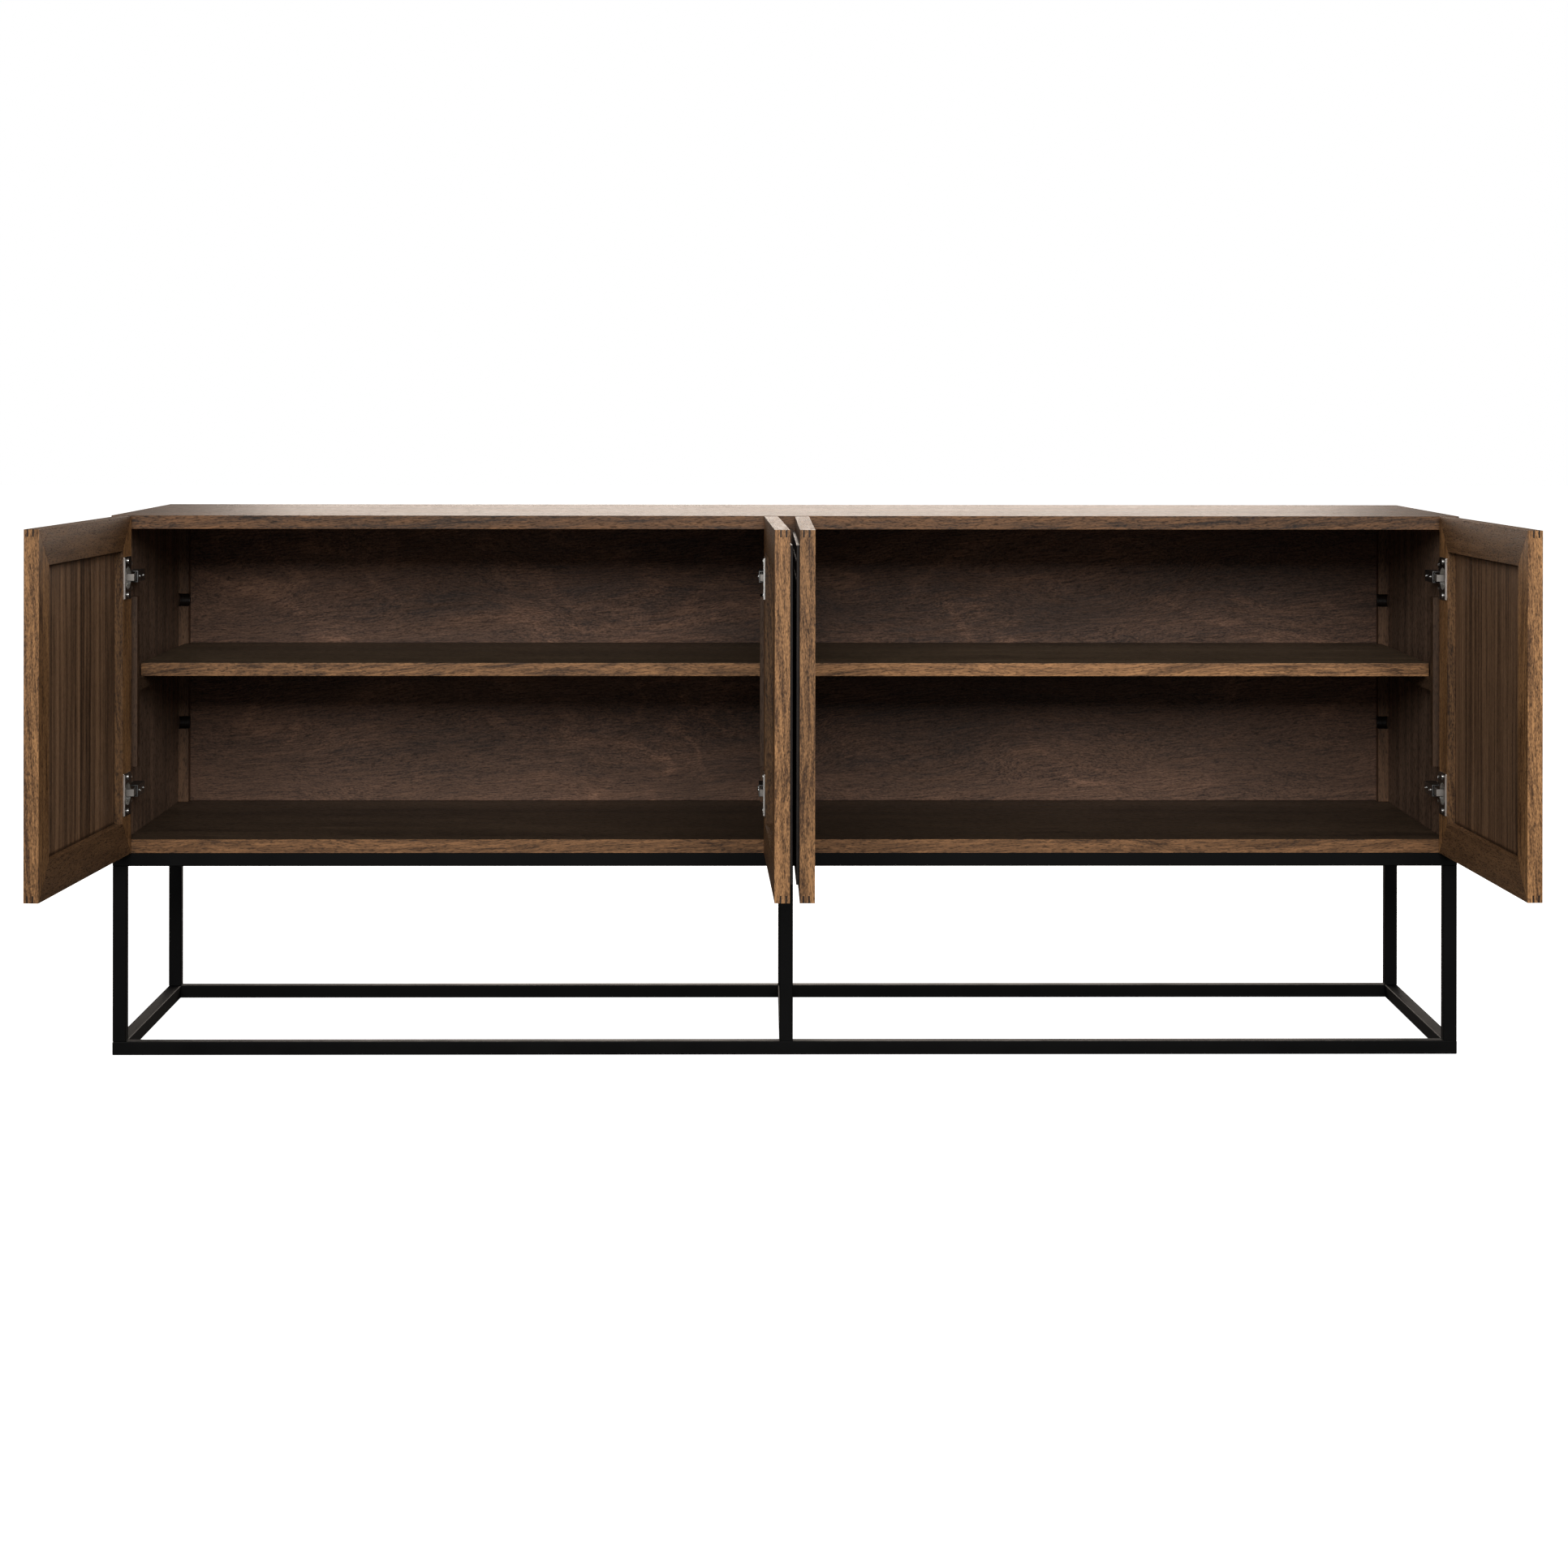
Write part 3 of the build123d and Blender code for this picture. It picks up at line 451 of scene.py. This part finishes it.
# painted shade: the broad faces of the cups and plates are darkened to a fifth
nickel = plated("hinge_nickel", (0.92, 0.90, 0.86), (0.76, 0.75, 0.72), roughness=0.28, broad=0.2)
# painted reflection: the arms' nickel is darkened to look as it does mirroring the dim inside of the case
arm_nickel_painted_dark = plated("hinge_arm_nickel_painted_dark", (0.17, 0.17, 0.165), (0.11, 0.11, 0.11), roughness=0.30)
link_nickel = plated("hinge_link_nickel", (0.36, 0.33, 0.30), (0.28, 0.26, 0.24), roughness=0.50)
zinc = plated("screw_zinc", (0.70, 0.69, 0.66), (0.45, 0.45, 0.44), roughness=0.22)

couplings = {coupling["follows"]: coupling["ratio"] for coupling in behaviour["couplings"]}


def door_turn(door):
    """Turn about Z that carries the door's width direction onto X, from how far it stands open."""
    swing = joints[f"{door}_door_swing"]
    opened = radians(-swing["range_deg"][0] * (1.0 - couplings[swing["name"]]))
    hand = -swing["axis"][2]
    return (0.0, 0.0, -atan2(-sin(opened), hand * cos(opened)))


# how light the frame of each door is against the others
DOOR_TONES = {"outer_left": 1.0, "centre_left": 1.1, "centre_right": 0.9, "outer_right": 1.2}
for door, tone in DOOR_TONES.items():
    level = door_turn(door)
    stile_wood = wood(
        f"{door}_stile_oak", ALONG_Z, (0.080, 0.036, 0.014), (0.440, 0.222, 0.088),
        slant=radians(2.0), bands=1.3, band_pitch=0.016, streaks=1.7, streak_pitch=0.005,
        streak_length=0.09, threads=1.1, speckle=1.2, pore_length=0.007, pore_width=0.0012,
        darkened_faces=step_faces, darkening=(0.42, 0.42, 0.42), tone=tone,
    )
    rail_wood = wood(
        f"{door}_rail_oak", level, (0.058, 0.028, 0.012), (0.262, 0.138, 0.064),
        bands=0.7, band_pitch=0.03, streaks=0.9, streak_length=0.12, tone=tone, specular=0.2,
    )
    ribbed_wood = wood(
        f"{door}_front_oak", level, (0.008, 0.006, 0.005), (0.026, 0.019, 0.015),
        streak_length=0.3, pores=0.4,
    )
    paint(f"{door}_door_stiles", stile_wood)
    paint(f"{door}_door_rails", rail_wood)
    paint(f"{door}_door_panel", panel_wood)
    paint(f"{door}_door_ribbed_front", ribbed_wood)
    paint(f"{door}_door_mitre_keys", key_wood)
    paint(f"{door}_hinge_cups", nickel)
    paint(f"{door}_hinge_links", link_nickel)

SHELF_TONES = {"left": 1.0, "right": 1.2}       # how light each shelf is against the other
for bay, tone in SHELF_TONES.items():
    paint(f"back_panel_{bay}", back_wood)
    paint(f"shelf_{bay}", shelf_wood(bay, tone))
    paint(f"shelf_cleats_{bay}", cleat_wood)
for name in ("left_side", "right_side", "divider_left", "divider_right", "divider_packing"):
    paint(name, side_wood)
paint("top_board", top_wood)
paint("bottom_board", bottom_wood)
paint("front_battens", front_batten_wood)
paint("rear_battens", rear_batten_wood)
paint("hinge_arms", arm_nickel_painted_dark)
paint("hinge_plates", nickel)
paint("hinge_plate_screws", zinc)
paint("base_screws", zinc)
STEEL_NODES = [name for name in nodes if name.endswith(("_leg", "_rail", "_cross_rails"))]
for name in STEEL_NODES:
    paint(name, coat)


# ---------------------------------------------------------------- softened edges
HINGE_EDGE = 0.00018
STEEL_EDGE = 0.0004
KEY_EDGE = 0.0001
WOOD_EDGE = 0.0007
SHARPEST_KEPT = radians(35.0)   # edges that turn less than this are left alone
SHADING_WEIGHT = 80


def soften(name, width, segments=2):
    """Joins the node's split vertices, rounds its edges and evens out its shading."""
    piece = nodes[name]
    weld = piece.modifiers.new("weld", "WELD")
    weld.merge_threshold = MERGE_DISTANCE
    bevel = piece.modifiers.new("bevel", "BEVEL")
    bevel.width = width
    bevel.segments = segments
    bevel.limit_method = "ANGLE"
    bevel.angle_limit = SHARPEST_KEPT
    bevel.use_clamp_overlap = True
    bevel.harden_normals = False
    even = piece.modifiers.new("even_shading", "WEIGHTED_NORMAL")
    even.keep_sharp = False
    even.weight = SHADING_WEIGHT


for name in nodes:
    if "hinge" in name or "screws" in name:
        soften(name, HINGE_EDGE, segments=1)
    elif name in STEEL_NODES:
        soften(name, STEEL_EDGE)
    elif name.endswith("mitre_keys"):
        soften(name, KEY_EDGE, segments=1)
    else:
        soften(name, WOOD_EDGE)


# ---------------------------------------------------------------- new pieces
def new_piece(name, shape, material):
    """An object in the scene with the bmesh's faces and one material. The bmesh is freed."""
    mesh = bpy.data.meshes.new(name)
    shape.to_mesh(mesh)
    shape.free()
    mesh.materials.append(material)
    piece = bpy.data.objects.new(name, mesh)
    bpy.context.scene.collection.objects.link(piece)
    return piece


# ---------------------------------------------------------------- screw heads
HEAD_HEIGHT = 0.0017
HEAD_SIDES = 20
HEAD_TURN = radians(20.0)       # how far round each recess is turned
# shares of the head's radius and height
HEAD_OUTLINE = ((1.0, 0.0), (1.0, 0.45), (0.9, 0.75), (0.72, 0.95), (0.6, 1.0))
# the cross recess: reach and half width of its arms as shares of the radius, and share of the height
RECESS_TOP = (0.5, 0.14, 1.0)
RECESS_FLOOR = (0.38, 0.09, 0.35)


def solid_boxes(name):
    """Low and high corner of each separate solid in a CAD node."""
    shape = bmesh.new()
    shape.from_mesh(nodes[name].data)
    bmesh.ops.remove_doubles(shape, verts=shape.verts, dist=MERGE_DISTANCE)
    waiting = set(shape.verts)
    boxes = []
    while waiting:
        front = [waiting.pop()]
        found = []
        while front:
            vertex = front.pop()
            found.append(vertex.co.copy())
            fresh = {edge.other_vert(vertex) for edge in vertex.link_edges} & waiting
            waiting -= fresh
            front.extend(fresh)
        low = Vector([min(point[axis] for point in found) for axis in range(3)])
        high = Vector([max(point[axis] for point in found) for axis in range(3)])
        boxes.append((low, high))
    shape.free()
    return sorted(boxes, key=lambda corners: tuple(corners[0]))


def round_loop(shape, radius, height):
    turns = [2.0 * pi * index / HEAD_SIDES for index in range(HEAD_SIDES)]
    return [shape.verts.new((radius * cos(turn), radius * sin(turn), height)) for turn in turns]


def cross_loop(shape, radius, arm, half_width, height):
    """Outline of a cross recess."""
    arm, half_width, height = arm * radius, half_width * radius, height * HEAD_HEIGHT
    corners = []
    for quarter in range(4):
        turn = Matrix.Rotation(quarter * pi / 2, 3, "Z")
        for x, y in ((half_width, half_width), (half_width, arm), (-half_width, arm)):
            corners.append(turn @ Vector((x, y, height)))
    return [shape.verts.new(corner) for corner in corners]


def sides(loop):
    """Each pair of neighbours round a closed loop."""
    return [(loop[index - 1], loop[index]) for index in range(len(loop))]


def wall(shape, first, second):
    """Faces between two closed loops with as many corners as each other."""
    for (a, b), (c, d) in zip(sides(first), sides(second)):
        shape.faces.new((a, b, d, c))


def fill(shape, edges):
    bmesh.ops.triangle_fill(shape, use_beauty=True, use_dissolve=False, edges=edges)


def add_head(shape, radius, frame_matrix):
    """One pan head with a cross recess, standing on its plane and looking along local Z."""
    before = set(shape.verts)
    rings = [round_loop(shape, radius * r, HEAD_HEIGHT * z) for r, z in HEAD_OUTLINE]
    for lower, upper in zip(rings, rings[1:]):
        wall(shape, lower, upper)
    top_cross = cross_loop(shape, radius, *RECESS_TOP)
    low_cross = cross_loop(shape, radius, *RECESS_FLOOR)
    rim = [shape.edges.get(pair) for pair in sides(rings[-1])]
    fill(shape, rim + [shape.edges.new(pair) for pair in sides(top_cross)])
    wall(shape, top_cross, low_cross)
    fill(shape, [shape.edges.get(pair) for pair in sides(low_cross)])
    fresh = [vertex for vertex in shape.verts if vertex not in before]
    bmesh.ops.transform(shape, matrix=frame_matrix, verts=fresh)


def head_set(name, heads):
    """A joined piece of screw heads, each given by its foot, the way it looks along X and its radius."""
    shape = bmesh.new()
    for foot, inward, radius in heads:
        look = Matrix.Rotation(inward * pi / 2, 4, "Y") @ Matrix.Rotation(HEAD_TURN, 4, "Z")
        add_head(shape, radius, Matrix.Translation(foot) @ look)
    bmesh.ops.recalc_face_normals(shape, faces=shape.faces)
    return new_piece(name, shape, zinc)


def bay_faces(name):
    """Each solid of a node as its low and high corner, the way along X to the middle of the nearest
    bay, and the middle of its face on that side."""
    faces = []
    for low, high in solid_boxes(name):
        middle = (low + high) / 2
        bay_low, bay_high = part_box("back_panel_left" if middle.x < 0 else "back_panel_right")
        inward = 1 if middle.x < (bay_low[0] + bay_high[0]) / 2 else -1
        middle.x = high.x if inward > 0 else low.x
        faces.append((low, high, inward, middle))
    return faces


plate_heads = [
    (face - Vector((inward * HEAD_HEIGHT, 0.0, 0.0)), inward, (high.z - low.z) / 2)
    for low, high, inward, face in bay_faces("hinge_plate_screws")
]
plate_piece = head_set("plate_screw_heads", plate_heads)
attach(plate_piece, "cabinet")
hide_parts("hinge_plate_screws")

ADJUSTER_PLACES = (0.014, 0.044)        # from the front end of an arm
ADJUSTER_RADIUS = 0.0024
adjuster_heads = [
    (Vector((face.x, low.y + back, face.z)), inward, ADJUSTER_RADIUS)
    for low, _high, inward, face in bay_faces("hinge_arms")
    for back in ADJUSTER_PLACES
]
adjuster_piece = head_set("hinge_adjusting_screws", adjuster_heads)
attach(adjuster_piece, "cabinet")


# ---------------------------------------------------------------- studio
FLOOR_SIZE = 60.0
FLOOR_HEIGHT = -0.0005          # just under the base
FLOOR_PALE = (0.86, 0.86, 0.86)
FLOOR_THROW = (0.14, 0.135, 0.13)
WARM_LIGHT = (1.0, 0.87, 0.76)
WARM_AIR = (1.0, 0.95, 0.9)
AIR_STRENGTH = 0.2


def seen_or_lit(tree, seen, lit):
    """seen for the camera's own rays, and lit for all other light."""
    camera_ray = wire(tree, "ShaderNodeLightPath").outputs["Is Camera Ray"]
    return wire(tree, "ShaderNodeMixShader", {0: camera_ray, 1: lit, 2: seen}).outputs["Shader"]


def floor_material():
    """Pale floor: bright to the camera, but only grey to the light that it throws back up."""
    material = bpy.data.materials.new("pale_floor")
    material.use_nodes = True
    tree = material.node_tree
    tree.nodes.clear()
    pale = wire(tree, "ShaderNodeBsdfDiffuse", {"Color": rgba(FLOOR_PALE)}).outputs["BSDF"]
    glow = wire(tree, "ShaderNodeEmission", {"Color": rgba(WHITE), "Strength": 1.0}).outputs["Emission"]
    bright = wire(tree, "ShaderNodeAddShader", {0: pale, 1: glow}).outputs["Shader"]
    thrown = wire(tree, "ShaderNodeBsdfDiffuse", {"Color": rgba(FLOOR_THROW)}).outputs["BSDF"]
    wire(tree, "ShaderNodeOutputMaterial", {"Surface": seen_or_lit(tree, bright, thrown)})
    return material


floor_shape = bmesh.new()
bmesh.ops.create_grid(floor_shape, x_segments=2, y_segments=2, size=FLOOR_SIZE / 2)
floor = new_piece("studio_floor", floor_shape, floor_material())
floor.location = (0.0, 0.0, FLOOR_HEIGHT)


def soft_light(name, place, target, width, height, power, colour=WHITE):
    """Rectangular soft box that the camera doesn't see."""
    lamp = bpy.data.lights.new(name, "AREA")
    lamp.shape = "RECTANGLE"
    lamp.size = width
    lamp.size_y = height
    lamp.energy = power
    lamp.color = colour
    holder = bpy.data.objects.new(name, lamp)
    holder.location = place
    holder.rotation_euler = (Vector(target) - Vector(place)).to_track_quat("-Z", "Y").to_euler()
    holder.visible_camera = False
    bpy.context.scene.collection.objects.link(holder)


soft_light(
    "front_box", place=(0.0, -5.8, 2.75), target=(0.0, 0.0, 0.55), width=5.2, height=2.3, power=304.0,
)
soft_light(
    "rear_box", place=(0.06, 3.4, 1.7), target=(0.06, 0.0, 0.75), width=2.85, height=1.6, power=66.0,
    colour=WARM_LIGHT,
)

world = bpy.data.worlds.new("studio_air")
bpy.context.scene.world = world
world.use_nodes = True
air = world.node_tree
air.nodes.clear()
seen_air = wire(air, "ShaderNodeBackground", {"Color": rgba(WHITE), "Strength": 1.0})
lit_air = wire(air, "ShaderNodeBackground", {"Color": rgba(WARM_AIR), "Strength": AIR_STRENGTH})
both_airs = seen_or_lit(air, seen_air.outputs["Background"], lit_air.outputs["Background"])
wire(air, "ShaderNodeOutputWorld", {"Surface": both_airs})
bpy.context.scene.view_settings.view_transform = "Standard"

# ---------------------------------------------------------------- camera
# The photograph's viewpoint, fitted to the edges of the sideboard, for a square picture.
CAMERA_PLACE = (-0.0343, -5.2817, 0.9846)
CAMERA_ROLL = radians(-0.072)
CAMERA_TURN = radians(-0.66)
LENS_MM = 77.85
SENSOR_MM = 36.0
SHIFT_X = -0.01204
SHIFT_Y = -0.25032

camera_data = bpy.data.cameras.new("camera")
camera_data.sensor_width = SENSOR_MM
camera_data.lens = LENS_MM
camera_data.shift_x = SHIFT_X
camera_data.shift_y = SHIFT_Y
camera = bpy.data.objects.new("camera", camera_data)
camera.location = CAMERA_PLACE
camera.rotation_euler = (pi / 2, CAMERA_ROLL, CAMERA_TURN)
bpy.context.scene.collection.objects.link(camera)
bpy.context.scene.camera = camera
